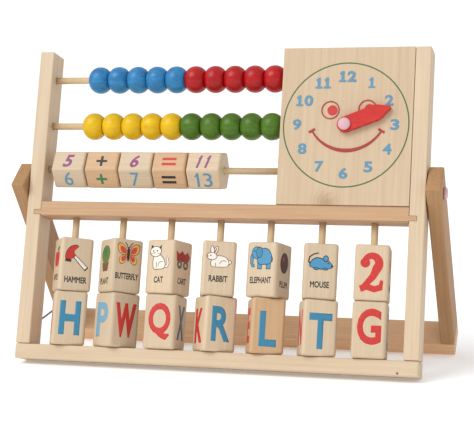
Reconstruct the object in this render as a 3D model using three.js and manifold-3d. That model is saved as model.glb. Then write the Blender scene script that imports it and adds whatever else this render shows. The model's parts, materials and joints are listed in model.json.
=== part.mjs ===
// A wooden abacus on a folding stand: a front frame that leans back on a U-shaped rear stand.
// The frame carries two rods of beads, a rod of six-sided number blocks, a clock board with one
// movable hand, and seven upright rods with a picture block over a letter block on each.
// Millimetres, +Z up, -Y towards the user.
import * as THREE from 'three';
import { mergeVertices } from 'three/addons/utils/BufferGeometryUtils.js';
import Module from 'manifold-3d';

const wasm = await Module();
wasm.setup();

// Driving dimensions of the front frame
const FRAME_WIDTH = 310;
const FRAME_HEIGHT = 242.5;
const STOCK_WIDTH = 11.5;
const STOCK_DEPTH = 21;
const MIDDLE_RAIL_BASE = 111;
const TONGUE_REACH = 5.5;
const TONGUE_DEPTH = 5;
const TONGUE_LIFT = 1.2;
const TONGUE_HEIGHT = 3.4;
const FRAME_LEAN = THREE.MathUtils.degToRad(13.5);
const GAP = 0.3;

// Rods and what slides or turns on them
const ROD_RADIUS = 2.6;
const ROD_SOCKET_DEPTH = 6;
const BEAD_ROD_HEIGHTS = [221.5, 184.2];
const NUMBER_ROD_HEIGHT = 149.6;
const BEADS_PER_COLOUR = 5;
const BEAD_RADIUS = 10.5;
const BEAD_LENGTH = 15.45;
const BEAD_SLACK = [0.3, 0.5];
const BEAD_ROW_GAP = 0.6;
const NUMBER_BLOCK_COUNT = 5;
const NUMBER_BLOCK_RADIUS = 16;
const NUMBER_BLOCK_LENGTH = 26.5;
const NUMBER_BLOCK_PITCH = 27.3;
const NUMBER_ROW_START = 7.8;
const NUMBER_BLOCK_TURN = THREE.MathUtils.degToRad(12);
const COLUMN_PITCH = 39.1;
const BLOCK_SIDE = 25.2;
const BLOCK_CORNER = 2.6;
const BLOCK_HEIGHT = 41;
const BLOCK_BORE = 3.1;
const PICTURE_TURNS = [34.9, 45.3, -17.3, 17, -13.5, 11.5, 5.3];
const LETTER_TURNS = [26, -37, -2, 37.5, 22.7, 21.9, 5.6];

// Clock
const BOARD_WIDTH = 99.4;
const BOARD_THICKNESS = 16;
const HAND_THICKNESS = 4;
const HAND_TAIL_RADIUS = 5.7;
const HAND_SHOULDER = 26;
const HAND_SHOULDER_HALF_WIDTH = 5.9;
const HAND_LENGTH = 36;
const HAND_TURN = THREE.MathUtils.degToRad(21.5);
const HAND_CLEARANCE = 0.6;
const PIN_RADIUS = 2.8;
const PIN_HEAD_RADIUS = 4.7;
const PIN_HEAD_HEIGHT = 2.6;

// Rear stand
const STAND_ANGLE = THREE.MathUtils.degToRad(38);
const LEG_THICKNESS = 11;
const LEG_DEPTH = 26;
const LEG_SIDE_GAP = 0.7;
const LEG_OVER_PIVOT = 14.8;
const CROSSBAR_THICKNESS = 12;
const PIVOT_HEIGHT = 134.4;
const DOWEL_RADIUS = 3.5;
const DOWEL_HEAD_RADIUS = 4.8;
const DOWEL_HEAD_HEIGHT = 2.6;

// Tether that stops the stand from opening further
const CORD_DIAMETER = 1.6;
const CORD_SIDES = 8;
const CORD_STEPS = 18;
const CORD_POST_HEIGHT = 28.7;
const CORD_LEG_REACH = 118;
const CORD_SAG = 0.5;

// Positions worked out from them; depths run back from the front face of the frame
const MID_DEPTH = STOCK_DEPTH / 2;
const INNER_HALF_WIDTH = FRAME_WIDTH / 2 - STOCK_WIDTH;
const MIDDLE_RAIL_TOP = MIDDLE_RAIL_BASE + STOCK_WIDTH;
const BOARD_LEFT = INNER_HALF_WIDTH - GAP - BOARD_WIDTH;
const BOARD_BASE = MIDDLE_RAIL_TOP + GAP;
const BOARD_CENTRE_X = BOARD_LEFT + BOARD_WIDTH / 2;
const BOARD_CENTRE_HEIGHT = (BOARD_BASE + FRAME_HEIGHT) / 2;
const LEG_INNER_X = FRAME_WIDTH / 2 + LEG_SIDE_GAP;
const LEG_OUTER_X = LEG_INNER_X + LEG_THICKNESS;
const FOOT_DROP = STOCK_DEPTH * Math.sin(FRAME_LEAN);
const PIVOT_Z = PIVOT_HEIGHT * Math.cos(FRAME_LEAN) - MID_DEPTH * Math.sin(FRAME_LEAN);
const STAND_REACH =
  (PIVOT_Z + FOOT_DROP - (LEG_DEPTH / 2) * Math.sin(STAND_ANGLE)) / Math.cos(STAND_ANGLE);

const paint = (color, roughness) =>
  new THREE.MeshStandardMaterial({ color, roughness, metalness: 0 });
const WOOD = paint(0xe2caa6, 0.6);
const PINK_WOOD = paint(0xd3a887, 0.6);
const ROD_WOOD = paint(0xdcc08f, 0.5);
const BEAD_PAINTS = [
  ['blue_bead', paint(0x2f7fc0, 0.25)],
  ['red_bead', paint(0xc01822, 0.25)],
  ['yellow_bead', paint(0xe8b41a, 0.25)],
  ['green_bead', paint(0x4a7d2c, 0.25)],
];
const HAND_PAINT = paint(0xd8382c, 0.35);
const PIN_PLASTIC = paint(0xf0c8cc, 0.4);
const CORD_FIBRE = paint(0x7d7488, 0.9);

// A closed geometry as a Manifold solid, and back again.
function solid(geometry) {
  const plain = geometry.clone();
  plain.deleteAttribute('normal');
  plain.deleteAttribute('uv');
  const merged = mergeVertices(plain, 1e-4);
  const vertProperties = new Float32Array(merged.attributes.position.array);
  const triVerts = new Uint32Array(merged.index.array);
  return new wasm.Manifold(new wasm.Mesh({ numProp: 3, vertProperties, triVerts }));
}

function geometryOf(manifold) {
  const { vertProperties, triVerts } = manifold.getMesh();
  const geometry = new THREE.BufferGeometry();
  geometry.setAttribute('position', new THREE.BufferAttribute(vertProperties, 3));
  geometry.setIndex(new THREE.BufferAttribute(triVerts, 1));
  geometry.computeVertexNormals();
  return geometry;
}

function mesh(name, geometry, material) {
  const piece = new THREE.Mesh(geometry, material);
  piece.name = name;
  return piece;
}

// A box given by its lowest and highest corners.
function boxBetween(low, high) {
  const box = new THREE.BoxGeometry(high[0] - low[0], high[1] - low[1], high[2] - low[2]);
  const centre = low.map((value, axis) => (value + high[axis]) / 2);
  return box.translate(...centre);
}

// Round stock along X, Y or Z from one end to the other, centred on the other two axes.
function roundBar(axis, start, end, radius) {
  const bar = new THREE.CylinderGeometry(radius, radius, end - start, 12);
  bar.translate(0, (start + end) / 2, 0);
  if (axis === 'x') bar.rotateZ(-Math.PI / 2);
  if (axis === 'z') bar.rotateX(Math.PI / 2);
  return bar;
}

// A dowel or pin with a domed head, lying along +Y from its foot at the origin.
function headedPin(length, radius, headRadius, headHeight) {
  const outline = [
    [0, 0],
    [radius, 0],
    [radius, length],
    [headRadius, length],
    [headRadius, length + headHeight * 0.35],
    [headRadius * 0.72, length + headHeight * 0.85],
    [0, length + headHeight],
  ];
  return new THREE.LatheGeometry(outline.map(([r, y]) => new THREE.Vector2(r, y)), 12);
}

// A prism with eased corners and a round bore through its middle, standing along +Z.
function boredPrism(sides, cornerRadius, ease, bore, height, firstCorner) {
  const shape = new THREE.Shape();
  const inset = ease / Math.sin((Math.PI * (sides - 2)) / (2 * sides));
  const stepsPerCorner = sides === 4 ? 2 : 1;
  for (let corner = 0; corner < sides; corner++) {
    const facing = firstCorner + (corner * 2 * Math.PI) / sides;
    for (let step = 0; step <= stepsPerCorner; step++) {
      const angle = facing + (step / stepsPerCorner - 0.5) * ((2 * Math.PI) / sides);
      const x = (cornerRadius - inset) * Math.cos(facing) + ease * Math.cos(angle);
      const y = (cornerRadius - inset) * Math.sin(facing) + ease * Math.sin(angle);
      if (corner === 0 && step === 0) shape.moveTo(x, y);
      else shape.lineTo(x, y);
    }
  }
  shape.closePath();
  const hole = new THREE.Path();
  hole.absarc(0, 0, bore, 0, 2 * Math.PI, true);
  shape.holes.push(hole);
  return new THREE.ExtrudeGeometry(shape, { depth: height, bevelEnabled: false, curveSegments: 6 });
}

// Frame pieces, in the frame's own axes: X across, Y back from its front face, Z up along the posts.

// The short tongue at each end of the middle rail's front edge, or the notch that takes it.
function tongueBox(side, allowance) {
  const inner = side * (INNER_HALF_WIDTH - 1);
  const outer = side * (INNER_HALF_WIDTH + TONGUE_REACH + allowance);
  const base = MIDDLE_RAIL_BASE + TONGUE_LIFT;
  return boxBetween(
    [Math.min(inner, outer), -allowance, base - allowance],
    [Math.max(inner, outer), TONGUE_DEPTH + allowance, base + TONGUE_HEIGHT + allowance],
  );
}

function post(side) {
  const inner = side * INNER_HALF_WIDTH;
  const outer = (side * FRAME_WIDTH) / 2;
  let body = solid(boxBetween(
    [Math.min(inner, outer), 0, STOCK_WIDTH + GAP],
    [Math.max(inner, outer), STOCK_DEPTH, FRAME_HEIGHT],
  ));
  body = body.subtract(solid(tongueBox(side, GAP)));
  const neck = LEG_SIDE_GAP + LEG_THICKNESS + GAP + STOCK_WIDTH / 2;
  const dowel = headedPin(neck, DOWEL_RADIUS, DOWEL_HEAD_RADIUS, DOWEL_HEAD_HEIGHT);
  dowel.rotateZ((-side * Math.PI) / 2);
  dowel.translate(outer - (side * STOCK_WIDTH) / 2, MID_DEPTH, PIVOT_HEIGHT);
  body = body.add(solid(dowel));
  if (side < 0) {
    for (const height of [...BEAD_ROD_HEIGHTS, NUMBER_ROD_HEIGHT]) {
      const socket = roundBar('x', inner - ROD_SOCKET_DEPTH, inner + 1, ROD_RADIUS + GAP);
      body = body.subtract(solid(socket.translate(0, MID_DEPTH, height)));
    }
  }
  return geometryOf(body);
}

const columnPlaces = Array.from({ length: 7 }, (_, index) => (index - 3) * COLUMN_PITCH);

// A rail, less the sockets that take the upright rods on its top or its underside.
function railWithSockets(geometry, mouth, inwards) {
  let rail = solid(geometry);
  for (const x of columnPlaces) {
    const low = Math.min(mouth - inwards, mouth + inwards * ROD_SOCKET_DEPTH);
    const high = Math.max(mouth - inwards, mouth + inwards * ROD_SOCKET_DEPTH);
    const socket = roundBar('z', low, high, ROD_RADIUS + GAP);
    rail = rail.subtract(solid(socket.translate(x, MID_DEPTH, 0)));
  }
  return rail;
}

function bottomRail() {
  const bar = boxBetween([-FRAME_WIDTH / 2, 0, 0], [FRAME_WIDTH / 2, STOCK_DEPTH, STOCK_WIDTH]);
  return geometryOf(railWithSockets(bar, STOCK_WIDTH, -1));
}

function middleRail() {
  const half = INNER_HALF_WIDTH - GAP;
  const bar = boxBetween([-half, 0, MIDDLE_RAIL_BASE], [half, STOCK_DEPTH, MIDDLE_RAIL_TOP]);
  const rail = railWithSockets(bar, MIDDLE_RAIL_BASE, 1);
  return geometryOf(rail.add(solid(tongueBox(-1, 0))).add(solid(tongueBox(1, 0))));
}

function clockBoard() {
  let board = solid(boxBetween(
    [BOARD_LEFT, 0, BOARD_BASE],
    [BOARD_LEFT + BOARD_WIDTH, BOARD_THICKNESS, FRAME_HEIGHT],
  ));
  for (const height of [...BEAD_ROD_HEIGHTS, NUMBER_ROD_HEIGHT]) {
    const end = BOARD_LEFT + ROD_SOCKET_DEPTH;
    const socket = roundBar('x', BOARD_LEFT - 1, end, ROD_RADIUS + GAP);
    board = board.subtract(solid(socket.translate(0, MID_DEPTH, height)));
  }
  const pinSocket = roundBar('y', -1, BOARD_THICKNESS * 0.65, PIN_RADIUS + GAP);
  board = board.subtract(solid(pinSocket.translate(BOARD_CENTRE_X, 0, BOARD_CENTRE_HEIGHT)));
  return geometryOf(board);
}

function crossRod(height) {
  const start = -INNER_HALF_WIDTH - ROD_SOCKET_DEPTH + GAP;
  const rod = roundBar('x', start, BOARD_LEFT + ROD_SOCKET_DEPTH - GAP, ROD_RADIUS);
  return rod.translate(0, MID_DEPTH, height);
}

function columnRod(x) {
  const start = STOCK_WIDTH - ROD_SOCKET_DEPTH + GAP;
  const end = MIDDLE_RAIL_BASE + ROD_SOCKET_DEPTH - GAP;
  return roundBar('z', start, end, ROD_RADIUS).translate(x, MID_DEPTH, 0);
}

// Moving pieces, each about its own rod or pin.
function bead() {
  const half = BEAD_LENGTH / 2;
  const bore = ROD_RADIUS + 0.5;
  const outline = [
    [bore, -half * 0.95],
    [BEAD_RADIUS * 0.52, -half],
    [BEAD_RADIUS * 0.85, -half * 0.7],
    [BEAD_RADIUS, -half * 0.22],
    [BEAD_RADIUS, half * 0.22],
    [BEAD_RADIUS * 0.85, half * 0.7],
    [BEAD_RADIUS * 0.52, half],
    [bore, half * 0.95],
    [bore, -half * 0.95],
  ];
  const ring = new THREE.LatheGeometry(outline.map(([r, y]) => new THREE.Vector2(r, y)), 12);
  return ring.rotateZ(-Math.PI / 2);
}

function numberBlock() {
  const height = NUMBER_BLOCK_LENGTH;
  const prism = boredPrism(6, NUMBER_BLOCK_RADIUS, 1, BLOCK_BORE, height, 0);
  return prism.translate(0, 0, -height / 2).rotateY(Math.PI / 2).rotateX(Math.PI / 2);
}

function columnBlock() {
  const corner = BLOCK_SIDE / Math.SQRT2;
  return boredPrism(4, corner, BLOCK_CORNER, BLOCK_BORE, BLOCK_HEIGHT, Math.PI / 4);
}

function clockHand() {
  const outline = new THREE.Shape();
  outline.absarc(0, 0, HAND_TAIL_RADIUS, Math.PI / 2, (3 * Math.PI) / 2, false);
  outline.lineTo(HAND_SHOULDER, -HAND_SHOULDER_HALF_WIDTH);
  outline.lineTo(HAND_LENGTH, -0.8);
  outline.lineTo(HAND_LENGTH, 0.8);
  outline.lineTo(HAND_SHOULDER, HAND_SHOULDER_HALF_WIDTH);
  outline.closePath();
  const eye = new THREE.Path();
  eye.absarc(0, 0, PIN_RADIUS + GAP, 0, 2 * Math.PI, true);
  outline.holes.push(eye);
  const options = { depth: HAND_THICKNESS, bevelEnabled: false, curveSegments: 6 };
  return new THREE.ExtrudeGeometry(outline, options).rotateX(Math.PI / 2);
}

function clockPin() {
  const foot = BOARD_THICKNESS * 0.6;
  const head = HAND_CLEARANCE + HAND_THICKNESS + GAP;
  const pin = headedPin(foot + head, PIN_RADIUS, PIN_HEAD_RADIUS, PIN_HEAD_HEIGHT);
  return pin.rotateX(Math.PI).translate(0, foot, 0);
}

// Stand pieces, in the stand's own axes: the pivot at the origin, Z up along the legs.
function leg(side) {
  const inner = side * LEG_INNER_X;
  const outer = side * LEG_OUTER_X;
  const body = solid(boxBetween(
    [Math.min(inner, outer), -LEG_DEPTH / 2, CROSSBAR_THICKNESS + GAP - STAND_REACH],
    [Math.max(inner, outer), LEG_DEPTH / 2, LEG_OVER_PIVOT],
  ));
  const from = Math.min(inner, outer) - 1;
  const bore = roundBar('x', from, from + LEG_THICKNESS + 2, DOWEL_RADIUS + GAP);
  return geometryOf(body.subtract(solid(bore)));
}

function crossbar() {
  return boxBetween(
    [-LEG_OUTER_X, -LEG_DEPTH / 2, -STAND_REACH],
    [LEG_OUTER_X, LEG_DEPTH / 2, CROSSBAR_THICKNESS - STAND_REACH],
  );
}

// The tether: a taut cord from the back of the left post to the front of the left leg.
function tether(frame, stand) {
  frame.updateMatrixWorld(true);
  stand.updateMatrixWorld(true);
  const postX = -(FRAME_WIDTH - STOCK_WIDTH) / 2;
  const legX = -(LEG_INNER_X + LEG_OUTER_X) / 2;
  const start = new THREE.Vector3(postX, STOCK_DEPTH + 2 * GAP, CORD_POST_HEIGHT);
  const end = new THREE.Vector3(legX, -LEG_DEPTH / 2 - 2 * GAP, -CORD_LEG_REACH);
  frame.localToWorld(start);
  stand.localToWorld(end);
  const middle = start.clone().lerp(end, 0.5);
  middle.z -= 2 * CORD_SAG;
  const path = new THREE.QuadraticBezierCurve3(start, middle, end);
  const section = new THREE.Shape();
  section.absarc(0, 0, CORD_DIAMETER / 2, 0, 2 * Math.PI, false);
  const options = { extrudePath: path, steps: CORD_STEPS, curveSegments: CORD_SIDES / 2 };
  return new THREE.ExtrudeGeometry(section, options);
}

function buildFrame() {
  const frame = new THREE.Group();
  frame.rotation.x = -FRAME_LEAN;
  frame.add(mesh('left_post', post(-1), WOOD));
  frame.add(mesh('right_post', post(1), WOOD));
  frame.add(mesh('bottom_rail', bottomRail(), WOOD));
  frame.add(mesh('middle_rail', middleRail(), PINK_WOOD));
  frame.add(mesh('clock_board', clockBoard(), WOOD));
  frame.add(mesh('bead_rod_upper', crossRod(BEAD_ROD_HEIGHTS[0]), ROD_WOOD));
  frame.add(mesh('bead_rod_lower', crossRod(BEAD_ROD_HEIGHTS[1]), ROD_WOOD));
  frame.add(mesh('number_rod', crossRod(NUMBER_ROD_HEIGHT), ROD_WOOD));

  // Ten beads a rod, five of each colour, pushed almost up to the clock board
  BEAD_PAINTS.forEach(([name, material], colour) => {
    const firstInRow = (colour % 2) * BEADS_PER_COLOUR;
    for (let index = 0; index < BEADS_PER_COLOUR; index++) {
      const fromRight = 2 * BEADS_PER_COLOUR - firstInRow - index;
      const piece = mesh(`${name}_${index + 1}`, bead(), material);
      const row = Math.floor(colour / 2);
      const pitch = BEAD_LENGTH + BEAD_SLACK[row];
      const x = BOARD_LEFT - BEAD_ROW_GAP - (fromRight - 0.5) * pitch;
      piece.position.set(x, MID_DEPTH, BEAD_ROD_HEIGHTS[row]);
      frame.add(piece);
    }
  });

  for (let index = 0; index < NUMBER_BLOCK_COUNT; index++) {
    const piece = mesh(`number_block_${index + 1}`, numberBlock(), WOOD);
    const start = -INNER_HALF_WIDTH + NUMBER_ROW_START;
    const x = start + NUMBER_BLOCK_LENGTH / 2 + index * NUMBER_BLOCK_PITCH;
    piece.position.set(x, MID_DEPTH, NUMBER_ROD_HEIGHT);
    piece.rotation.x = NUMBER_BLOCK_TURN;
    frame.add(piece);
  }

  columnPlaces.forEach((x, index) => {
    frame.add(mesh(`column_rod_${index + 1}`, columnRod(x), ROD_WOOD));
    const letterBase = STOCK_WIDTH + GAP;
    const pictureBase = letterBase + BLOCK_HEIGHT + GAP;
    const pair = [
      ['letter_block', letterBase, LETTER_TURNS[index]],
      ['picture_block', pictureBase, PICTURE_TURNS[index]],
    ];
    for (const [name, base, turn] of pair) {
      const piece = mesh(`${name}_${index + 1}`, columnBlock(), WOOD);
      piece.position.set(x, MID_DEPTH, base);
      piece.rotation.z = THREE.MathUtils.degToRad(turn);
      frame.add(piece);
    }
  });

  const pin = mesh('clock_pin', clockPin(), PIN_PLASTIC);
  pin.position.set(BOARD_CENTRE_X, 0, BOARD_CENTRE_HEIGHT);
  frame.add(pin);
  const hand = mesh('clock_hand', clockHand(), HAND_PAINT);
  hand.position.set(BOARD_CENTRE_X, -HAND_CLEARANCE, BOARD_CENTRE_HEIGHT);
  hand.rotation.y = -HAND_TURN;
  frame.add(hand);
  return frame;
}

function buildStand() {
  const stand = new THREE.Group();
  const pivotY = PIVOT_HEIGHT * Math.sin(FRAME_LEAN) + MID_DEPTH * Math.cos(FRAME_LEAN);
  stand.position.set(0, pivotY, PIVOT_Z);
  stand.rotation.x = STAND_ANGLE;
  stand.add(mesh('left_leg', leg(-1), WOOD));
  stand.add(mesh('right_leg', leg(1), WOOD));
  stand.add(mesh('rear_crossbar', crossbar(), WOOD));
  return stand;
}

const frame = buildFrame();
const stand = buildStand();
const abacus = new THREE.Group();
abacus.add(frame, stand);
abacus.updateMatrixWorld(true);

// The origin is the centre of the standing object's footprint box, on the surface it stands on.
const box = new THREE.Box3().setFromObject(abacus, true);
const cord = mesh('tether_cord', tether(frame, stand), CORD_FIBRE);
abacus.add(cord);
abacus.position.set(0, -(box.min.y + box.max.y) / 2, -box.min.z);

export default abacus;
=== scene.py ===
# %% [markdown]
# # A wooden abacus on a folding stand
#
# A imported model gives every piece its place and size. This lesson dresses it: the timber gets eased
# edges and grain, the beads become round and glossy, the blocks get their printed faces, and the clock
# gets its dial. Lengths are in metres. X runs across the abacus, Y away from its user and Z up.

# %% Load the fixed frame
import json
import math
import random

import bmesh
import bpy
from mathutils import Matrix, Vector


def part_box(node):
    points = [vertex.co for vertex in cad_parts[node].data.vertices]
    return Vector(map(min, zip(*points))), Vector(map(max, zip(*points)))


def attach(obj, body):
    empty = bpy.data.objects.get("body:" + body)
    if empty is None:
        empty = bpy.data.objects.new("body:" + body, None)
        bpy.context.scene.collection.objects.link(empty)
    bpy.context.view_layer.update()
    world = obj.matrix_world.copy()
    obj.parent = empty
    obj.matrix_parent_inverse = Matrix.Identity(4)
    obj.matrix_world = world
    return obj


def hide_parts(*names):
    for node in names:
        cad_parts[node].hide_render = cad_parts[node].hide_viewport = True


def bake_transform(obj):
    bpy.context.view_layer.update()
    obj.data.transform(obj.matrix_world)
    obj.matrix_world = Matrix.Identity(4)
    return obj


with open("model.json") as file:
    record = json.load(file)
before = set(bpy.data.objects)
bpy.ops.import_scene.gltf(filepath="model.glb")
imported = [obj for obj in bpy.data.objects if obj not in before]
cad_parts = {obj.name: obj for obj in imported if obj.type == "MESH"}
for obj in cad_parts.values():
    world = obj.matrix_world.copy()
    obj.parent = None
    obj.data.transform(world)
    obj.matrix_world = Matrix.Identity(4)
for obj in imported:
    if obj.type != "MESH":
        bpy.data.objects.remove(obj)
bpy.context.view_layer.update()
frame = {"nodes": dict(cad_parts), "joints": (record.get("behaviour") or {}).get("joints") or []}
MM = 0.001
joints = {joint["name"]: joint for joint in frame["joints"]}

# %% [markdown]
# ## The camera
#
# The viewer stands a little to the right of the abacus, a metre away, and looks slightly down. A long
# lens keeps the posts nearly parallel, as in a catalogue view.

# %% Place the camera
CAMERA_PLACE = (0.2842, -1.0233, 0.1826)
CAMERA_TURN = math.radians(15.42)
CAMERA_DIP = math.radians(3.94)
camera_data = bpy.data.cameras.new("camera")
camera_data.sensor_width = 36
camera_data.lens = 103.3
camera = bpy.data.objects.new("camera", camera_data)
camera.location = CAMERA_PLACE
camera.rotation_euler = (math.pi / 2 - CAMERA_DIP, 0, CAMERA_TURN)
bpy.context.scene.collection.objects.link(camera)
bpy.context.scene.camera = camera
print("camera at", CAMERA_PLACE)

# %% [markdown]
# ## Two sets of axes
#
# The front frame leans back and the rear stand leans forward, so nothing on them is square to the room.
# Each gets axes of its own: X across, Y back from its front and Z up along its timbers. The foot of the
# bottom rail and the stand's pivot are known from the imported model, and they fix the two origins.

# %% Work out the frame's and the stand's axes
LEAN = math.radians(13.5)
STAND_TURN = math.radians(38)
STOCK_DEPTH = 21 * MM
STOCK_WIDTH = 11.5 * MM
rail_low, rail_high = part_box("bottom_rail")
foot = Vector((0, rail_low.y, rail_low.z + STOCK_DEPTH * math.sin(LEAN)))
FRAME_AXES = Matrix.Translation(foot) @ Matrix.Rotation(-LEAN, 4, "X")
pivot = Vector(joints["stand_fold"]["pos_m"])
STAND_AXES = Matrix.Translation(pivot) @ Matrix.Rotation(STAND_TURN, 4, "X")


def box_in(axes, node):
    """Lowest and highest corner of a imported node, measured along the given axes."""
    back = axes.inverted()
    points = [back @ vertex.co for vertex in frame["nodes"][node].data.vertices]
    low = Vector([min(point[axis] for point in points) for axis in range(3)])
    high = Vector([max(point[axis] for point in points) for axis in range(3)])
    return low, high


print("frame foot", foot, "pivot", pivot)

# %% [markdown]
# ## Shader arithmetic
#
# A node tree is easier to read as a sum than as a web. `Signal` wraps one output socket, and Python's
# own operators on it add Math nodes. `Graph.add` makes every other node from its type, its settings and
# what goes into its sockets.


# %% Wrap sockets and nodes
class Signal:
    """A value in a node tree. Arithmetic on it adds Math nodes."""

    def __init__(self, graph, socket):
        self.graph = graph
        self.socket = socket

    def maths(self, operation, *operands):
        return self.graph.add("ShaderNodeMath", {"operation": operation}, dict(enumerate(operands)))

    def __add__(self, other):
        return self.maths("ADD", self, other)

    def __sub__(self, other):
        return self.maths("SUBTRACT", self, other)

    def __mul__(self, other):
        return self.maths("MULTIPLY", self, other)

    def __truediv__(self, other):
        return self.maths("DIVIDE", self, other)

    def __pow__(self, other):
        return self.maths("POWER", self, other)

    def __rsub__(self, other):
        return self.maths("SUBTRACT", other, self)

    __radd__ = __add__
    __rmul__ = __mul__

    def fraction(self):
        return self.maths("FRACT", self)

    def at_most(self, other):
        return self.maths("MINIMUM", self, other)

    def at_least(self, other):
        return self.maths("MAXIMUM", self, other)

    def as_share(self):
        """Kept between 0 and 1."""
        return self.at_least(0).at_most(1)


class Graph:
    """A material's nodes round one Principled shader."""

    def __init__(self, name):
        self.material = bpy.data.materials.new(name)
        self.material.use_nodes = True
        self.tree = self.material.node_tree
        self.shader = self.tree.nodes["Principled BSDF"]

    def plug(self, socket, value):
        if isinstance(value, Signal):
            self.tree.links.new(value.socket, socket)
        else:
            socket.default_value = value

    def add(self, kind, settings, inputs, output=0):
        node = self.tree.nodes.new(kind)
        for setting, value in settings.items():
            setattr(node, setting, value)
        for key, value in inputs.items():
            self.plug(node.inputs[key], value)
        return Signal(self, node.outputs[output])

    def object_place(self):
        return self.add("ShaderNodeTexCoord", {}, {}, "Object")

    def attribute(self, name, output="Vector"):
        return self.add("ShaderNodeAttribute", {"attribute_name": name}, {}, output)

    def stretched(self, vector, scale):
        return self.add("ShaderNodeVectorMath", {"operation": "MULTIPLY"}, {0: vector, 1: scale})

    def noise(self, vector, scale, detail=2.0):
        inputs = {"Vector": vector, "Scale": scale, "Detail": detail}
        return self.add("ShaderNodeTexNoise", {}, inputs)

    def mix(self, factor, first, second, blend="MIX"):
        settings = {"data_type": "RGBA", "blend_type": blend}
        return self.add("ShaderNodeMix", settings, {0: factor, 6: first, 7: second}, 2)

    def bump(self, height, strength, distance):
        return self.add("ShaderNodeBump", {}, {"Height": height, "Strength": strength, "Distance": distance})

    def finish(self, **inputs):
        for words, value in inputs.items():
            self.plug(self.shader.inputs[words.replace("_", " ")], value)
        return self.material


def colour(red, green, blue):
    """A colour given as it looks on a screen, from 0 to 255, in the linear values that shaders use."""
    shares = [value / 255 for value in (red, green, blue)]
    linear = [((s + 0.055) / 1.055) ** 2.4 if s > 0.04045 else s / 12.92 for s in shares]
    return (*linear, 1.0)


print("shader helpers ready")

# %% [markdown]
# ## Wood
#
# Sawn softwood shows the rings of its tree: straight lines where the board is cut along them, arches
# where it is cut across, and arcs at its ends. One three-dimensional pattern gives all of these. Each
# piece stores, on its vertices, where it sat in the log (`grain`, with Z along the trunk), and the rings
# are the distance from the trunk's middle, bent a little by soft noise. Fine stretched noise adds fibres.


# %% Make the woods
KNOT_WIDE, KNOT_TALL = 14 * MM, 12 * MM
KNOT_PLACE = FRAME_AXES @ (Vector((81, 0, 125)) * MM)
RING_WANDER = 12 * MM
KNOT_PUSH = 14 * MM


def knot_swell(graph, knot):
    """From 1 at a knot's middle to 0 away from it: the rings bulge round a branch that has been cut."""
    place = graph.object_place()
    away = graph.add("ShaderNodeVectorMath", {"operation": "SUBTRACT"}, {0: place, 1: tuple(knot)})
    reach = graph.stretched(away, (1 / KNOT_WIDE, 0, 1 / KNOT_TALL))
    distance = graph.add("ShaderNodeVectorMath", {"operation": "LENGTH"}, {0: reach}, "Value")
    return (1 - distance).at_least(0) ** 1.5


def wood(name, pale, dark, ring_gap, ring_share, fibre_share, roughness, knot=None):
    graph = Graph(name)
    grain = graph.attribute("grain")
    bend = graph.noise(graph.stretched(grain, (1, 1, 0.16)), 24.0, 3.0)
    flat = graph.stretched(grain, (1, 1, 0))
    from_pith = graph.add("ShaderNodeVectorMath", {"operation": "LENGTH"}, {0: flat}, "Value")
    swell = knot_swell(graph, knot) if knot else 0
    ring = ((from_pith + bend * RING_WANDER + swell * KNOT_PUSH) / ring_gap).fraction()
    cloud = graph.noise(graph.stretched(grain, (1, 1, 0.3)), 35.0, 2.0)
    fade = graph.noise(graph.stretched(grain, (1, 1, 0.12)), 60.0, 1.0)
    late_wood = ring**3 * ((1 - ring) * 9).at_most(1) * ((fade - 0.3) * 2.5).as_share()
    streak = graph.noise(graph.stretched(grain, (1, 1, 0.035)), 420.0, 3.0)
    pore = graph.noise(graph.stretched(grain, (1, 1, 0.02)), 1900.0, 1.0)
    fibre = (streak - 0.5) * 1.6 + (pore - 0.5) * 0.9 + (cloud - 0.5) * 0.7
    share = late_wood * (ring_share + swell * 1.6) + fibre * fibre_share + 0.3 + swell * 0.7
    raw = graph.mix(share.as_share(), pale, dark)
    tone = graph.attribute("tone", "Fac")
    toned = graph.add("ShaderNodeHueSaturation", {}, {"Value": 1 + tone, "Color": raw})
    height = fibre * 0.5 - late_wood * 0.2
    return graph.finish(
        Base_Color=toned,
        Roughness=roughness + fibre * 0.12,
        Normal=graph.bump(height, 0.25, 0.15 * MM),
    )


PINE = wood("pine", colour(215, 195, 167), colour(182, 151, 116), 3.6 * MM, 0.28, 0.3, 0.55)
PINK_PINE = wood("pink_pine", colour(202, 164, 126), colour(166, 123, 87), 2.8 * MM, 0.35, 0.4, 0.55)
# The legs' pine is darker and more orange than the frame's: painted shade for the rear stand, which stands
# behind the frame.
SHADED_LEG_PINE = wood("shaded_leg_pine", colour(178, 138, 95), colour(144, 100, 60), 3.6 * MM, 0.4, 0.4, 0.6)
BAR_PINE = wood("bar_pine", colour(230, 190, 150), colour(192, 146, 104), 4.2 * MM, 0.4, 0.4, 0.6)
BOARD_PINE = wood(
    "board_pine", colour(207, 185, 156), colour(174, 144, 110), 5.5 * MM, 0.22, 0.3, 0.6, KNOT_PLACE,
)
BLOCK_WOOD = wood("block_wood", colour(213, 193, 165), colour(182, 155, 122), 2.8 * MM, 0.22, 0.34, 0.5)
WARM_WOOD = wood("warm_block_wood", colour(210, 174, 134), colour(178, 138, 98), 2.8 * MM, 0.3, 0.34, 0.5)
ROD_WOOD = wood("rod_wood", colour(218, 194, 156), colour(196, 162, 118), 1.8 * MM, 0.25, 0.35, 0.5)
print("eight woods")

# %% [markdown]
# ## From a bmesh to a piece
#
# Every piece ends the same way: its bmesh becomes an object at the origin, rides on a body of the model
# and stands for the node that it replaces. Wooden ones are first given their place in the log.

# %% Finish pieces
log_yard = random.Random(11)
GRAIN_ORDER = {"X": (1, 2, 0), "Z": (0, 1, 2)}


def as_object(mesh, name, material):
    """Turns a finished bmesh into an object."""
    data = bpy.data.meshes.new(name)
    mesh.to_mesh(data)
    mesh.free()
    data.materials.append(material)
    made = bpy.data.objects.new(name, data)
    bpy.context.scene.collection.objects.link(made)
    return made


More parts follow.
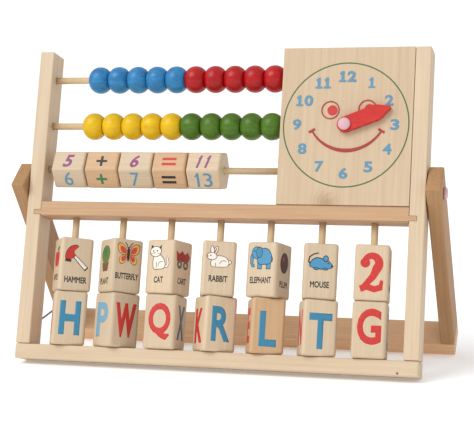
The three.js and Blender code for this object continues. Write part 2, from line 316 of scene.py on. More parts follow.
def as_piece(mesh, name, body, material, stands_for=()):
    """Turns a finished bmesh into an object that rides on a body."""
    piece = as_object(mesh, name, material)
    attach(piece, body)
    if stands_for:
        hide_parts(*stands_for)
    return piece


def lay_grain(mesh, axes, along, spread=0.03):
    """Stores each vertex's place in the log, with the trunk along one of the axes."""
    turn = log_yard.uniform(0, 2 * math.pi)
    reach = log_yard.uniform(18, 55) * MM
    pith = Vector((reach * math.cos(turn), reach * math.sin(turn), log_yard.uniform(0, 2)))
    tone = log_yard.uniform(-spread, spread)
    grain_layer = mesh.verts.layers.float_vector.new("grain")
    tone_layer = mesh.verts.layers.float.new("tone")
    back = axes.inverted()
    for vertex in mesh.verts:
        local = back @ vertex.co
        vertex[grain_layer] = Vector([local[axis] for axis in GRAIN_ORDER[along]]) + pith
        vertex[tone_layer] = tone


def bevel(mesh, edges, width, segments):
    """Rounds some edges and shades the new strips smoothly."""
    made = bmesh.ops.bevel(
        mesh, geom=edges, offset=width, offset_type="OFFSET", affect="EDGES",
        segments=segments, profile=0.5, material=-1, clamp_overlap=True,
    )
    for face in made["faces"]:
        face.smooth = True


# %% [markdown]
# ## The timbers
#
# The posts, rails, clock board, legs and crossbar are plain sawn stock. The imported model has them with
# their drilled sockets and the little tongue joint, so each is copied, its loose triangles are merged
# into whole faces, and only its long outer edges are sanded round. Short edges, which belong to sockets
# and the tongue, stay crisp.

# %% Cut and ease the timbers
LONG_EDGE = 9 * MM
SHARP = math.radians(60)
FLAT = math.radians(1)


def merged_copy(node):
    """A node's mesh with its doubles merged and its flat faces whole."""
    mesh = bmesh.new()
    mesh.from_mesh(frame["nodes"][node].data)
    bmesh.ops.remove_doubles(mesh, verts=mesh.verts, dist=0.01 * MM)
    bmesh.ops.dissolve_limit(mesh, angle_limit=FLAT, verts=mesh.verts, edges=mesh.edges)
    return mesh


def ease(mesh, width):
    """Rounds the long outer edges."""
    edges = [
        edge for edge in mesh.edges
        if edge.is_manifold and edge.calc_length() > LONG_EDGE and edge.calc_face_angle_signed() > SHARP
    ]
    bevel(mesh, edges, width, 3)


def cut_off_dowel(mesh):
    """Takes the pivot dowel off a post and closes the flat that it leaves."""
    outer = rail_high.x + 0.1 * MM
    beyond = [vertex for vertex in mesh.verts if abs(vertex.co.x) > outer]
    bmesh.ops.delete(mesh, geom=beyond, context="VERTS")
    rim = [edge for edge in mesh.edges if edge.is_boundary]
    bmesh.ops.holes_fill(mesh, edges=rim)
    bmesh.ops.dissolve_limit(mesh, angle_limit=FLAT, verts=mesh.verts, edges=mesh.edges)


def timber(node, body, axes, along, material, width=1.2 * MM):
    mesh = merged_copy(node)
    if node.endswith("_post"):
        cut_off_dowel(mesh)
    ease(mesh, width)
    lay_grain(mesh, axes, along)
    return as_piece(mesh, f"{node}_timber", body, material, [node])


timbers = [
    timber("left_post", "front_frame", FRAME_AXES, "Z", PINE, 0.8 * MM),
    timber("right_post", "front_frame", FRAME_AXES, "Z", PINE, 0.8 * MM),
    timber("bottom_rail", "front_frame", FRAME_AXES, "X", PINE),
    timber("middle_rail", "front_frame", FRAME_AXES, "X", PINK_PINE, 0.8 * MM),
    timber("clock_board", "front_frame", FRAME_AXES, "Z", BOARD_PINE, 0.35 * MM),
    # The legs take the darker pine, whose colour holds painted shade.
    timber("left_leg", "rear_stand", STAND_AXES, "Z", SHADED_LEG_PINE),
    timber("right_leg", "rear_stand", STAND_AXES, "Z", SHADED_LEG_PINE),
    timber("rear_crossbar", "rear_stand", STAND_AXES, "X", BAR_PINE),
]
print("timbers:", {piece.name: len(piece.data.polygons) for piece in timbers})

# %% [markdown]
# ## The rods
#
# Ten birch rods, three across and seven upright, end out of sight in their sockets. A cone with equal
# radii is a cylinder, turned to lie along its own axis.

# %% Turn the rods
ROD_RADIUS = 2.6 * MM
QUARTER_TURN = Matrix.Rotation(math.pi / 2, 4, "Y")


def rod(node, along):
    low, high = box_in(FRAME_AXES, node)
    length = high.x - low.x if along == "X" else high.z - low.z
    mesh = bmesh.new()
    bmesh.ops.create_cone(
        mesh, cap_ends=True, segments=32, radius1=ROD_RADIUS, radius2=ROD_RADIUS, depth=length,
    )
    for face in mesh.faces:
        face.smooth = len(face.verts) == 4
    turn = QUARTER_TURN if along == "X" else Matrix.Identity(4)
    place = FRAME_AXES @ Matrix.Translation((low + high) / 2) @ turn
    bmesh.ops.transform(mesh, matrix=place, verts=mesh.verts)
    lay_grain(mesh, FRAME_AXES, along)
    return as_piece(mesh, f"{node}_turned", "front_frame", ROD_WOOD, [node])


rods = [rod(node, "X") for node in ("bead_rod_upper", "bead_rod_lower", "number_rod")]
rods += [rod(f"column_rod_{index + 1}", "Z") for index in range(7)]
print(len(rods), "rods")

# %% [markdown]
# ## The blocks
#
# Fourteen square blocks stand on the upright rods and five six-sided ones lie on the cross rod. Both are
# a bored prism: a cone with few sides has its long edges bevelled, then its ends while they are whole
# faces. The two end caps are opened and filled again round a circle. Bridging would be shorter, but two
# loops in one plane can be joined with a twist that crosses the hole. The circles are then bridged into
# the bore. The square's corners take five bevel segments and the hexagon's three.

# %% Saw and bore the blocks
BORE = 3.1 * MM
BORE_SIDES = 24
BLOCK_SIDE = 25.2 * MM
BLOCK_HEIGHT = 41 * MM
BLOCK_CORNER = 2.6 * MM
NUMBER_RADIUS = 16 * MM
NUMBER_LENGTH = 26.5 * MM
NUMBER_CORNER = 1.0 * MM
NUMBER_TURN = math.radians(12)
BLOCK_END, NUMBER_END = 1.9 * MM, 1.8 * MM
PICTURE_TURNS = [34.9, 45.3, -17.3, 17, -13.5, 11.5, 5.3]
LETTER_TURNS = [26, -37, -2, 37.5, 22.7, 21.9, 5.6]

WARM_BLOCKS = ("letter_block_5", "number_block_2", "number_block_4")


def block_wood_of(node):
    return WARM_WOOD if node in WARM_BLOCKS else BLOCK_WOOD


def bored_prism(sides, corner, corner_cut, length, end_cut):
    mesh = bmesh.new()
    bmesh.ops.create_cone(
        mesh, cap_ends=True, segments=sides, radius1=corner, radius2=corner, depth=length,
    )
    uprights = [e for e in mesh.edges if abs(e.verts[0].co.z - e.verts[1].co.z) > length / 2]
    bevel(mesh, uprights, corner_cut, BORE_SIDES // sides - 1)
    mesh.normal_update()
    rims = [e for e in mesh.edges if abs(e.verts[0].co.z + e.verts[1].co.z) > length * 0.99]
    bevel(mesh, rims, end_cut, 3)
    mesh.normal_update()
    caps = [face for face in mesh.faces if abs(face.normal.z) > 0.99]
    bmesh.ops.delete(mesh, geom=caps, context="FACES_ONLY")
    bores = []
    for end in (-length / 2, length / 2):
        outline = [e for e in mesh.edges if e.is_boundary and e.verts[0].co.z * end > 0]
        place = Matrix.Translation((0, 0, end))
        ring = bmesh.ops.create_circle(mesh, segments=BORE_SIDES, radius=BORE, matrix=place)
        ring_edges = list({edge for vertex in ring["verts"] for edge in vertex.link_edges})
        bmesh.ops.triangle_fill(
            mesh, use_beauty=True, use_dissolve=False, edges=outline + ring_edges,
        )
        bores += ring_edges
    bmesh.ops.bridge_loops(mesh, edges=bores)
    bmesh.ops.recalc_face_normals(mesh, faces=mesh.faces)
    return mesh


def column_block(node, turn):
    low, high = box_in(FRAME_AXES, node)
    place = Matrix.Translation((low + high) / 2) @ Matrix.Rotation(math.radians(turn), 4, "Z")
    mesh = bored_prism(4, BLOCK_SIDE / math.sqrt(2), BLOCK_CORNER, BLOCK_HEIGHT, BLOCK_END)
    square = Matrix.Rotation(math.pi / 4, 4, "Z")
    bmesh.ops.transform(mesh, matrix=FRAME_AXES @ place @ square, verts=mesh.verts)
    lay_grain(mesh, FRAME_AXES @ place, "Z", 0.06)
    as_piece(mesh, f"{node}_sawn", node, block_wood_of(node), [node])
    return FRAME_AXES @ place


def number_block(node):
    low, high = box_in(FRAME_AXES, node)
    place = Matrix.Translation((low + high) / 2) @ Matrix.Rotation(NUMBER_TURN, 4, "X")
    mesh = bored_prism(6, NUMBER_RADIUS, NUMBER_CORNER, NUMBER_LENGTH, NUMBER_END)
    bmesh.ops.transform(mesh, matrix=FRAME_AXES @ place @ QUARTER_TURN, verts=mesh.verts)
    lay_grain(mesh, FRAME_AXES @ place, "X", 0.05)
    as_piece(mesh, f"{node}_sawn", node, block_wood_of(node), [node])
    return FRAME_AXES @ place


picture_places = [column_block(f"picture_block_{i + 1}", t) for i, t in enumerate(PICTURE_TURNS)]
letter_places = [column_block(f"letter_block_{i + 1}", t) for i, t in enumerate(LETTER_TURNS)]
number_places = [number_block(f"number_block_{i + 1}") for i in range(5)]
print(len(picture_places), "picture,", len(letter_places), "letter and", len(number_places), "number blocks")

# %% [markdown]
# ## The beads
#
# Twenty turned beads are dipped in gloss paint. Half an outline, a superellipse that ends in a small flat
# face, is spun once round the rod. Under the paint the grain still tells a little, so the paint's colour
# and its surface follow the same fibres as the wood.


# %% Paint
def gloss_paint(name, bright, deep, roughness, coat):
    graph = Graph(name)
    grain = graph.attribute("grain")
    fibre = graph.noise(graph.stretched(grain, (1, 1, 0.05)), 520.0, 3.0)
    cloud = graph.noise(grain, 160.0, 2.0)
    share = (fibre - 0.5) * 1.1 + (cloud - 0.5) * 0.8 + 0.4
    return graph.finish(
        Base_Color=graph.mix(share.as_share(), bright, deep),
        Roughness=roughness + (cloud - 0.5) * 0.15,
        Coat_Weight=coat,
        Coat_Roughness=0.2,
        Specular_IOR_Level=0.3,
        Normal=graph.bump(fibre, 0.2, 0.1 * MM),
    )


BEAD_PAINTS = {
    "blue": gloss_paint("blue_paint", colour(48, 136, 190), colour(20, 84, 138), 0.4, 0.15),
    "red": gloss_paint("red_paint", colour(188, 4, 12), colour(130, 0, 6), 0.4, 0.15),
    "yellow": gloss_paint("yellow_paint", colour(228, 190, 0), colour(202, 150, 0), 0.4, 0.15),
    "green": gloss_paint("green_paint", colour(82, 122, 22), colour(44, 78, 10), 0.4, 0.15),
}
print(len(BEAD_PAINTS), "bead paints")

# %% Spin the beads
BEAD_RADIUS = 10.5 * MM
BEAD_HALF = 7.725 * MM
BEAD_FACE = 0.6
BEAD_POWER = 2.1
BEAD_BORE = 3.1 * MM


def bead_outline():
    """Half a section through a bead: along the rod, out from it."""
    widest = math.acos(BEAD_FACE ** (BEAD_POWER / 2))
    fill = BEAD_HALF / math.sin(widest) ** (2 / BEAD_POWER)
    points = []
    for step in range(-12, 13):
        angle = widest * step / 12
        along = math.copysign(fill * abs(math.sin(angle)) ** (2 / BEAD_POWER), step)
        points.append((along, BEAD_RADIUS * math.cos(angle) ** (2 / BEAD_POWER)))
    return [(-BEAD_HALF, BEAD_BORE), *points, (BEAD_HALF, BEAD_BORE)]


def spun(outline, closed, steps=40):
    """A surface of revolution about X from points given as (along, out)."""
    mesh = bmesh.new()
    corners = [mesh.verts.new((along, 0, out)) for along, out in outline]
    pairs = list(zip(corners, corners[1:]))
    if closed:
        pairs.append((corners[-1], corners[0]))
    edges = [mesh.edges.new(pair) for pair in pairs]
    bmesh.ops.spin(
        mesh, geom=corners + edges, cent=(0, 0, 0), axis=(1, 0, 0), dvec=(0, 0, 0),
        angle=2 * math.pi, steps=steps, use_merge=True, use_duplicate=False,
    )
    bmesh.ops.remove_doubles(mesh, verts=mesh.verts, dist=0.001 * MM)
    bmesh.ops.recalc_face_normals(mesh, faces=mesh.faces)
    for face in mesh.faces:
        face.smooth = abs(face.normal.x) < 0.98
    return mesh


def bead(node, paint):
    low, high = box_in(FRAME_AXES, node)
    mesh = spun(bead_outline(), closed=True)
    spin = Matrix.Rotation(log_yard.uniform(0, 2 * math.pi), 4, "X")
    place = FRAME_AXES @ Matrix.Translation((low + high) / 2) @ spin
    bmesh.ops.transform(mesh, matrix=place, verts=mesh.verts)
    lay_grain(mesh, place, "X")
    return as_piece(mesh, f"{node}_turned", node, paint, [node])


for hue, paint in BEAD_PAINTS.items():
    for index in range(5):
        bead(f"{hue}_bead_{index + 1}", paint)
print("twenty beads of", len(bead_outline()), "outline points")

# %% [markdown]
# ## The clock's hand and the pins
#
# The hand is a painted wooden pointer whose front edge is well rounded. It turns on a pin with a domed
# plastic head. The stand turns on two wooden dowels whose domed heads show outside the legs. Pins and
# dowels are spun from one outline: a shaft, then a low dome.

# %% Shape the hand, the pin and the dowels
HAND_PAINT = gloss_paint("hand_paint", colour(206, 44, 38), colour(172, 24, 20), 0.45, 0.12)
PIN_RADIUS = 2.8 * MM
PIN_HEAD_RADIUS = 4.7 * MM
DOWEL_RADIUS = 3.5 * MM
DOWEL_HEAD_RADIUS = 4.8 * MM
HEAD_HEIGHT = 2.6 * MM
hand_pivot = Vector(joints["clock_hand_turn"]["pos_m"])


def plastic(name, base, roughness):
    graph = Graph(name)
    place = graph.object_place()
    haze = graph.noise(place, 380.0, 3.0)
    shade = graph.mix((haze * 0.25).at_most(1), base, (base[0] * 0.7, base[1] * 0.6, base[2] * 0.6, 1))
    return graph.finish(
        Base_Color=shade,
        Roughness=roughness + haze * 0.15,
        Normal=graph.bump(haze, 0.15, 0.1 * MM),
    )


PIN_PLASTIC = plastic("pin_plastic", colour(210, 168, 175), 0.35)


def domed_pin(length, radius, head_radius):
    """A pin along +X from its foot at the origin, with a domed head at the far end."""
    outline = [(0, 0), (0, radius), (length, radius), (length, head_radius - 0.3 * MM)]
    outline += [(length + 0.3 * MM, head_radius)]
    for step in range(1, 10):
        angle = math.pi / 2 * step / 9
        along = length + HEAD_HEIGHT * (0.35 + 0.65 * math.sin(angle))
        outline.append((along, head_radius * math.cos(angle) ** 0.7 if step < 9 else 0))
    return spun(outline, closed=False)


def shape_hand():
    mesh = merged_copy("clock_hand")
    back = FRAME_AXES.inverted()
    front = min((back @ vertex.co).y for vertex in mesh.verts)
    rim = [
        edge for edge in mesh.edges
        if all((back @ v.co).y < front + 0.05 * MM for v in edge.verts)
        and all((v.co - hand_pivot).length > PIN_HEAD_RADIUS for v in edge.verts)
        and edge.is_manifold and edge.calc_face_angle() > SHARP
    ]
    bevel(mesh, rim, 1.0 * MM, 4)
    lay_grain(mesh, FRAME_AXES, "X")
    return as_piece(mesh, "clock_hand_painted", "clock_hand", HAND_PAINT, ["clock_hand"])


def shape_pin():
    low, high = box_in(FRAME_AXES, "clock_pin")
    mesh = domed_pin(high.y - low.y - HEAD_HEIGHT, PIN_RADIUS, PIN_HEAD_RADIUS)
    foot_of_pin = Vector(((low.x + high.x) / 2, high.y, (low.z + high.z) / 2))
    turn = Matrix.Rotation(-math.pi / 2, 4, "Z")
    bmesh.ops.transform(mesh, matrix=FRAME_AXES @ Matrix.Translation(foot_of_pin) @ turn, verts=mesh.verts)
    return as_piece(mesh, "clock_pin_domed", "front_frame", PIN_PLASTIC, ["clock_pin"])


def shape_dowel(side, node):
    low, high = box_in(FRAME_AXES, node)
    tip = high.x if side > 0 else -low.x
    start = rail_high.x - STOCK_WIDTH / 2
    mesh = domed_pin(tip - HEAD_HEIGHT - start, DOWEL_RADIUS, DOWEL_HEAD_RADIUS)
    centre = FRAME_AXES.inverted() @ pivot
    foot_of_dowel = Vector((side * start, centre.y, centre.z))
    turn = Matrix.Rotation(0 if side > 0 else math.pi, 4, "Z")
    bmesh.ops.transform(
        mesh, matrix=FRAME_AXES @ Matrix.Translation(foot_of_dowel) @ turn, verts=mesh.verts
    )
    return as_piece(mesh, f"{node}_dowel", "front_frame", PIN_PLASTIC)


turned = [shape_hand(), shape_pin(), shape_dowel(-1, "left_post"), shape_dowel(1, "right_post")]
print([piece.name for piece in turned])

# %% [markdown]
# ## The tether
#
# A thin twisted cord runs from the back of the left post to the front of the left leg and stops the stand
# from opening further. Its section has three lobes, and each step along the route turns them a little, so
# the strands are real shape.


# %% Lay the cord
def cord_fibre():
    graph = Graph("cord_fibre")
    place = graph.object_place()
    fluff = graph.noise(place, 2600.0, 3.0)
    shade = graph.mix(fluff, colour(128, 120, 140), colour(92, 86, 108))
    return graph.finish(Base_Color=shade, Roughness=0.85, Normal=graph.bump(fluff, 0.5, 0.1 * MM))


CORD_FIBRE = cord_fibre()
CORD_DIAMETER = 1.6 * MM
CORD_STEPS = 120
CORD_TWISTS = 16
LOBES = 3
KNOT_RADIUS = 1.5 * MM
cord_start = FRAME_AXES @ (Vector((-149.25, 21, 28.7)) * MM)
cord_end = STAND_AXES @ (Vector((-161.2, -13, -118)) * MM)
cord_middle = (cord_start + cord_end) / 2 - Vector((0, 0, 1 * MM))


def cord_point(share):
    """A point on the slack curve between the two ends."""
    first = cord_start.lerp(cord_middle, share)
    return first.lerp(cord_middle.lerp(cord_end, share), share)


def cord_section(share):
    """The place and turn of the section at a share of the way."""
    ahead = cord_point(min(share + 0.01, 1)) - cord_point(max(share - 0.01, 0))
    side = Vector((1, 0, 0)).cross(ahead).normalized()
    other = ahead.normalized().cross(side)
    axes = Matrix((side, other, ahead.normalized())).transposed().to_4x4()
    twist = Matrix.Rotation(2 * math.pi * CORD_TWISTS / LOBES * share, 4, "Z")
    return Matrix.Translation(cord_point(share)) @ axes @ twist


def lay_cord():
    mesh = bmesh.new()
    ring = bmesh.ops.create_circle(mesh, cap_ends=True, segments=18, radius=CORD_DIAMETER / 2)
    for vertex in ring["verts"]:
        angle = math.atan2(vertex.co.y, vertex.co.x)
        vertex.co *= 0.8 + 0.2 * abs(math.cos(angle * LOBES / 2))
    bmesh.ops.transform(mesh, matrix=cord_section(0), verts=ring["verts"])
    face = mesh.faces[:][0]
    for step in range(CORD_STEPS):
        made = bmesh.ops.extrude_face_region(mesh, geom=[face], use_keep_orig=step == 0)
        new_face = [item for item in made["geom"] if isinstance(item, bmesh.types.BMFace)][0]
        if step > 0:
            bmesh.ops.delete(mesh, geom=[item for item in [face] if item.is_valid], context="FACES_ONLY")
        change = cord_section((step + 1) / CORD_STEPS) @ cord_section(step / CORD_STEPS).inverted()
        bmesh.ops.transform(mesh, matrix=change, verts=new_face.verts[:])
        face = new_face
    bmesh.ops.recalc_face_normals(mesh, faces=mesh.faces)
    for face in mesh.faces:
        face.smooth = len(face.verts) == 4
    return as_object(mesh, "tether_twisted", CORD_FIBRE)


def knot(name, body, place):
    """A small tight knot against the wood, lumpy where the cord crosses itself."""
    mesh = bmesh.new()
    bmesh.ops.create_icosphere(mesh, subdivisions=4, radius=KNOT_RADIUS)
    for vertex in mesh.verts:
        turn = math.atan2(vertex.co.y, vertex.co.x)
        lift = vertex.co.z / KNOT_RADIUS
        vertex.co *= 0.88 + 0.16 * abs(math.sin(1.5 * turn + 2.6 * lift))
    for face in mesh.faces:
        face.smooth = True
    bmesh.ops.transform(mesh, matrix=Matrix.Translation(place), verts=mesh.verts)
    return as_piece(mesh, name, body, CORD_FIBRE)


tether = lay_cord()
route = [cord_point(step / 18) for step in range(19)]
tether_length = sum((b - a).length for a, b in zip(route, route[1:]))
knots = [
    knot("post_knot", "front_frame", cord_point(0.012)),
    knot("leg_knot", "rear_stand", cord_point(0.988)),
]
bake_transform(tether)
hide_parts("tether_cord")
print(f"cord of {tether_length * 1000:.1f} mm")

# %% [markdown]
# ## Printing
#
# The dial, the letters, the numbers and the little pictures are silk-screened in flat inks. Each ink
# patch is a thin slab that stands a few hundredths of a millimetre proud of the wood: an outline or a
# letter is filled, then extruded. All the patches of one block make one piece, and each vertex carries
# its ink, so a single material colours them all.


# %% Mix the ink
WORN_SHARE = 0.14


def printed_ink():
    graph = Graph("printed_ink")
    ink = graph.attribute("ink", "Color")
    place = graph.object_place()
    patchy = graph.noise(place, 900.0, 3.0)
    thin = graph.mix(((patchy - 0.42) * 1.2).as_share() * WORN_SHARE, ink, colour(212, 190, 160))
    return graph.finish(Base_Color=thin, Roughness=0.45 + patchy * 0.15)


INK = printed_ink()
BLUE = colour(44, 126, 160)
SKY = colour(62, 138, 178)
PALE_BLUE = colour(112, 158, 182)
DIAL_BLUE = colour(82, 136, 166)
RED = colour(194, 36, 30)
DARK_RED = colour(158, 34, 28)
PLUM = colour(62, 16, 12)
GREEN = colour(40, 116, 66)
OLIVE = colour(92, 112, 52)
RING_GREEN = colour(58, 98, 46)
YELLOW = colour(232, 172, 62)
ORANGE = colour(214, 128, 58)
ROSE = colour(190, 66, 72)
PURPLE = colour(134, 62, 118)
SLATE = colour(70, 92, 108)
BLACK = colour(18, 16, 18)
WHITE = colour(236, 226, 214)
BROWN = colour(112, 76, 48)
print("inks ready")


# %% Cut flat shapes
INK_FOOT = 0.04 * MM
INK_TOP = 0.05 * MM
INK_STEP = 0.012 * MM


def slab(mesh):
    """Gives a flat shape the ink's thickness, from just inside the wood to just above it."""
    bmesh.ops.recalc_face_normals(mesh, faces=mesh.faces)
    raised = bmesh.ops.extrude_face_region(mesh, geom=mesh.faces[:], use_keep_orig=True)
    lifted = [item for item in raised["geom"] if isinstance(item, bmesh.types.BMVert)]
    bmesh.ops.translate(mesh, vec=(0, 0, INK_TOP + INK_FOOT), verts=lifted)
    bmesh.ops.translate(mesh, vec=(0, 0, -INK_FOOT), verts=mesh.verts)
    bmesh.ops.recalc_face_normals(mesh, faces=mesh.faces)
    return mesh


def outline_shape(points):
    """A slab from an outline in millimetres, which may have hollows in its sides."""
    mesh = bmesh.new()
    mesh.faces.new([mesh.verts.new((x * MM, y * MM, 0)) for x, y in points])
    bmesh.ops.triangulate(mesh, faces=mesh.faces, quad_method="BEAUTY", ngon_method="EAR_CLIP")
    return slab(mesh)


def disc(x, y, wide, tall=None, turn=0):
    """An ellipse from its centre and its two radii."""
    tall = wide if tall is None else tall
    points = []
    for step in range(32):
        angle = 2 * math.pi * step / 32
        across, up = wide * math.cos(angle), tall * math.sin(angle)
        c, s = math.cos(math.radians(turn)), math.sin(math.radians(turn))
        points.append((x + across * c - up * s, y + across * s + up * c))
    return outline_shape(points)


def blob(points):
    """A smooth closed shape through a few points."""
    smooth = []
    count = len(points)
    for index in range(count):
        p = [Vector(points[(index + k - 1) % count]) for k in range(4)]
        for step in range(6):
            t = step / 6
            near = p[1] * 2 + (p[2] - p[0]) * t
            far = (p[0] * 2 - p[1] * 5 + p[2] * 4 - p[3]) * t * t
            last = (p[1] * 3 - p[0] - p[2] * 3 + p[3]) * t**3
            smooth.append(tuple((near + far + last) / 2))
    return outline_shape(smooth)


def stroke(points, width, end_width=None):
    """A band that follows a few points, with its width changing evenly along it."""
    end_width = width if end_width is None else end_width
    path = [Vector(point) for point in points]
    left, right = [], []
    for index, point in enumerate(path):
        ahead = path[min(index + 1, len(path) - 1)] - path[max(index - 1, 0)]
        side = Vector((-ahead.y, ahead.x)).normalized()
        half = (width + (end_width - width) * index / (len(path) - 1)) / 2
        left.append(tuple(point + side * half))
        right.append(tuple(point - side * half))
    return outline_shape(left + right[::-1])


def arc_points(x, y, radius, start, end, steps=24):
    """Points along an arc, with its angles in degrees."""
    angles = [math.radians(start + (end - start) * step / steps) for step in range(steps + 1)]
    return [(x + radius * math.cos(angle), y + radius * math.sin(angle)) for angle in angles]


def ring_shape(x, y, radius, width):
    """A thin ring: two circles bridged."""
    mesh = bmesh.new()
    edges = []
    for reach in (radius - width / 2, radius + width / 2):
        place = Matrix.Translation((x * MM, y * MM, 0))
        circle = bmesh.ops.create_circle(mesh, segments=96, radius=reach * MM, matrix=place)
        edges += list({edge for vertex in circle["verts"] for edge in vertex.link_edges})
    bmesh.ops.bridge_loops(mesh, edges=edges)
    return slab(mesh)


def lettering(text, x, y, height, width, weight=0.0, slant=0.0):
    """Text centred on a point, fitted to a height and a width in millimetres.

    A bevel on a text object swells its letters sideways, which makes them bold. It swells them in depth
    too, so the solid is then flattened to the ink's thickness.
    """
    curve = bpy.data.curves.new("lettering", "FONT")
    curve.body = text
    curve.extrude = 0.01
    curve.bevel_depth = weight
    curve.bevel_resolution = 0
    curve.resolution_u = 4
    curve.fill_mode = "BOTH"
    writer = bpy.data.objects.new("lettering", curve)
    bpy.context.scene.collection.objects.link(writer)
    bpy.context.view_layer.update()
    written = writer.evaluated_get(bpy.context.evaluated_depsgraph_get())
    data = bpy.data.meshes.new_from_object(written)
    mesh = bmesh.new()
    mesh.from_mesh(data)
    bpy.data.objects.remove(writer)
    bpy.data.curves.remove(curve)
    bpy.data.meshes.remove(data)
    bmesh.ops.remove_doubles(mesh, verts=mesh.verts, dist=0.0002)
    low = [min(vertex.co[axis] for vertex in mesh.verts) for axis in range(3)]
    high = [max(vertex.co[axis] for vertex in mesh.verts) for axis in range(3)]
    up = height * MM / (high[1] - low[1])
    across = width * MM / (high[0] - low[0])
    swell = (INK_TOP + INK_FOOT) / (high[2] - low[2])
    for vertex in mesh.verts:
        rise = (vertex.co.y - (low[1] + high[1]) / 2) * up
        run = (vertex.co.x - (low[0] + high[0]) / 2) * across + rise * slant
        vertex.co = (x * MM + run, y * MM + rise, (vertex.co.z - low[2]) * swell - INK_FOOT)
    return mesh


class Prints:
    """All the ink on one piece of wood."""

    def __init__(self):
        self.mesh = bmesh.new()
        self.inks = []

    def add(self, place, shapes):
        """Prints (slab, ink) pairs on a face, each a little over the one before."""
        for layer, (patch, ink) in enumerate(shapes):
            over = [vertex for vertex in patch.verts if vertex.co.z > 0]
            bmesh.ops.translate(patch, vec=(0, 0, INK_STEP * layer), verts=over)
            bmesh.ops.transform(patch, matrix=place, verts=patch.verts)
            data = bpy.data.meshes.new("patch")
            patch.to_mesh(data)
            patch.free()
            self.mesh.from_mesh(data)
            bpy.data.meshes.remove(data)
            self.inks += [ink] * (len(self.mesh.verts) - len(self.inks))

    def finish(self, name, body):
        inks = self.inks
        piece = as_piece(self.mesh, name, body, INK)
        layer = piece.data.attributes.new("ink", "FLOAT_COLOR", "POINT")
        layer.data.foreach_set("color", [value for ink in inks for value in ink])
        return piece


# Looking at the front of a block: X to the right, Y up, Z out of the wood
FRONT = Matrix(((1, 0, 0, 0), (0, 0, -1, 0), (0, 1, 0, 0), (0, 0, 0, 1)))
print("printing tools ready")

# %% [markdown]
# ## The clock's dial
#
# A green ring holds the twelve hours in slab-like blue figures, two round eyes and a wide smile. The
# hand hides part of the right eye when it points between two and three.

# %% Print the dial
DIAL_CENTRE = Vector((93.5, 183.3))
DIAL_RADIUS = 47
HOUR_RADIUS = 36.7
SMILE_RADIUS = 30.2
SMILE_ENDS = (210.5, 329.5)


def one(x, y, tall, wide, slant, plain):
    """The figure 1: a stem and a flag, with a slab foot unless it is plain."""
    foot, head = y - tall / 2, y + tall / 2
    lean = slant * tall / 2
    thick = 0.16 if plain else 0.26
    flag = [(x + lean - 0.4 * wide, head - 0.27 * tall), (x + lean + 0.04 * tall, head - 0.07 * tall)]
    shapes = [stroke([(x - lean, foot), (x + lean, head)], thick * tall), stroke(flag, 0.65 * thick * tall)]
    if not plain:
        level = foot + 0.08 * tall
        shapes.append(stroke([(x - wide / 2, level), (x + wide / 2, level)], 0.17 * tall))
    return shapes


def figures(text, x, y, tall, share, weight, slant=0.0, plain=False):
    """A number whose digits are placed one by one, so that the narrow 1 is never stretched."""
    widths = [tall * share * (0.8 if digit == "1" else 1) for digit in text]
    left = x - (sum(widths) + 0.12 * tall * (len(text) - 1)) / 2
    shapes = []
    for digit, wide in zip(text, widths):
        middle = left + wide / 2
        if digit == "1":
            shapes += one(middle, y, tall, wide, slant, plain)
        else:
            shapes.append(lettering(digit, middle, y, tall, wide, weight, slant))
        left += wide + 0.12 * tall
    return shapes


def hour(number):
    angle = math.radians(90 - 30 * number)
    x, y = HOUR_RADIUS * math.cos(angle), HOUR_RADIUS * math.sin(angle)
    return figures(str(number), x, y, 8.2, 0.8, 0.035)


def dial():
    face = Prints()
    front = FRAME_AXES @ Matrix.Translation((DIAL_CENTRE.x * MM, 0, DIAL_CENTRE.y * MM)) @ FRONT
    shapes = [(ring_shape(0, 0, DIAL_RADIUS, 1.0), RING_GREEN)]
    for number in range(1, 13):
        shapes += [(shape, DIAL_BLUE) for shape in hour(number)]
    for x, y in ((-11.8, 11.0), (16.0, 11.9)):
        shapes.append((ring_shape(x, y, 6.5, 0.9), DARK_RED))
        shapes.append((disc(x + 1.5, y - 0.2, 3.8), RED))
    smile = arc_points(1, 10.6, SMILE_RADIUS, *SMILE_ENDS)
    half = len(smile) // 2
    shapes.append((stroke(smile[: half + 1], 1.2, 2.8), DARK_RED))
    shapes.append((stroke(smile[half:], 2.8, 1.2), DARK_RED))
    for angle in SMILE_ENDS:
        ends = [arc_points(1, 10.6, SMILE_RADIUS + reach, angle, angle, 1)[0] for reach in (-2.6, 2.6)]
        shapes.append((stroke(ends, 1.7), DARK_RED))
    face.add(front, shapes)
    return face.finish("dial_print", "front_frame")


def nail_mark():
    """The filled hole of a nail, low at the right end of the bottom rail."""
    mark = Prints()
    place = FRAME_AXES @ Matrix.Translation((139.8 * MM, 0, 2.2 * MM)) @ FRONT
    mark.add(place, [(disc(0, 0, 0.9, 0.8), BROWN)])
    return mark.finish("rail_nail_mark", "front_frame")


print([piece.name for piece in (dial(), nail_mark())], "printed")

# %% [markdown]
# ## Letters and numbers
#
# Each letter block has a different letter on each side, and each number block a figure or a sign on each
# of its six. A helper turns the front face's axes round to any side.

